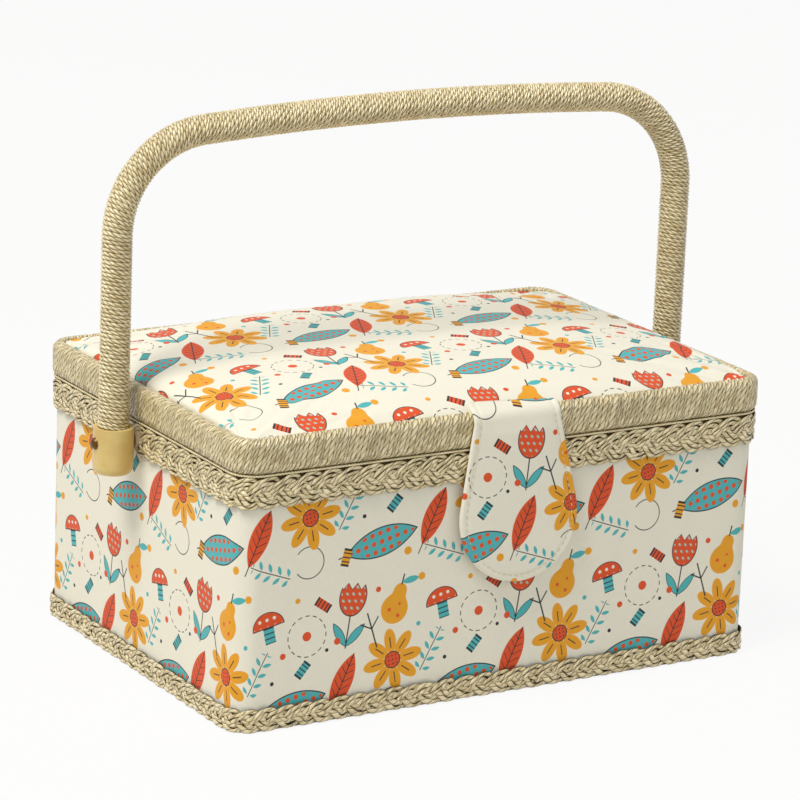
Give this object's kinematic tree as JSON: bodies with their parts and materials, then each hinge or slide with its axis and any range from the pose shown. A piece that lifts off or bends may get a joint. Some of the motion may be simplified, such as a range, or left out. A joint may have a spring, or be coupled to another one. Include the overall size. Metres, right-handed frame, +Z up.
{
  "type": "sewing box",
  "caption": "Fabric-covered storage box with a padded hinged lid, straw-wound rim, flat plaits, a closing flap, a lift-out tray inside and a swinging wound handle.",
  "frame": {"origin": "middle of the underside, where the box stands", "axes": "+Z up, +X along the length, the flap faces -Y"},
  "size_m": [0.3464, 0.2164, 0.2808],
  "materials": {
    "print_cloth": "matte woven",
    "straw": "satin",
    "satin": "satin",
    "satin_ledge": "satin",
    "cushion_cloth": "matte woven",
    "wadding": "matte",
    "cover_paper": "matte",
    "board": "matte",
    "core_wood": "matte",
    "tray_plastic": "satin",
    "cap_plastic": "satin",
    "spacer_plastic": "matte",
    "bronze": "satin",
    "hinge_brass": "satin",
    "snap_metal": "satin"
  },
  "bodies": {
    "box": {"base_cover": "cover_paper", "box_floor": "board", "box_walls": "board", "body_fabric": "print_cloth", "floor_pad": "satin", "wall_lining": "satin", "lower_braid": "straw", "upper_braid": "straw", "tray_ledges": "satin_ledge", "tray_shell": "tray_plastic", "tray_dividers": "tray_plastic", "snap_socket": "snap_metal", "hinge_body_leaves": "hinge_brass", "hinge_pins": "hinge_brass", "hinge_body_screws": "hinge_brass", "pivot_screws": "bronze", "pivot_nuts": "bronze"},
    "lid": {"lid_frame": "board", "rim_wrap": "straw", "lid_board": "board", "lid_pad": "wadding", "lid_fabric": "print_cloth", "seam_cord": "straw", "lid_lining": "satin", "lid_pocket": "satin", "pocket_elastic": "satin", "pincushion_base": "satin", "pincushion": "cushion_cloth", "flap_root": "print_cloth", "hinge_lid_leaves": "hinge_brass", "hinge_lid_screws": "hinge_brass"},
    "flap": {"flap_front": "print_cloth", "flap_stiffener": "board", "flap_backing": "print_cloth", "snap_stud": "snap_metal"},
    "spacers": {"pivot_spacers": "spacer_plastic"},
    "handle": {"handle_core": "core_wood", "handle_wrap": "straw", "ferrule_right": "cap_plastic", "ferrule_left": "cap_plastic"}
  },
  "joints": [
    {"name": "lid_hinge", "type": "hinge", "parent": "box", "child": "lid", "pos_m": [0, 0.1066, 0.127], "axis": [-1, 0, 0], "range_deg": [0, 100]},
    {"name": "handle_push", "type": "hinge", "parent": "box", "child": "spacers", "pos_m": [0, 0.003, 0.1185], "axis": [-1, 0, 0], "range_deg": [0, 100]},
    {"name": "handle_swing", "type": "hinge", "parent": "spacers", "child": "handle", "pos_m": [0, 0.003, 0.1185], "axis": [-1, 0, 0], "range_deg": [-120, 0]},
    {"name": "flap_hinge", "type": "hinge", "parent": "lid", "child": "flap", "pos_m": [0, -0.10258, 0.14689], "axis": [-1, 0, 0], "range_deg": [0, 110]}
  ],
  "couplings": [
    {"joint": "handle_push", "follows": "lid_hinge", "ratio": 1}
  ]
}
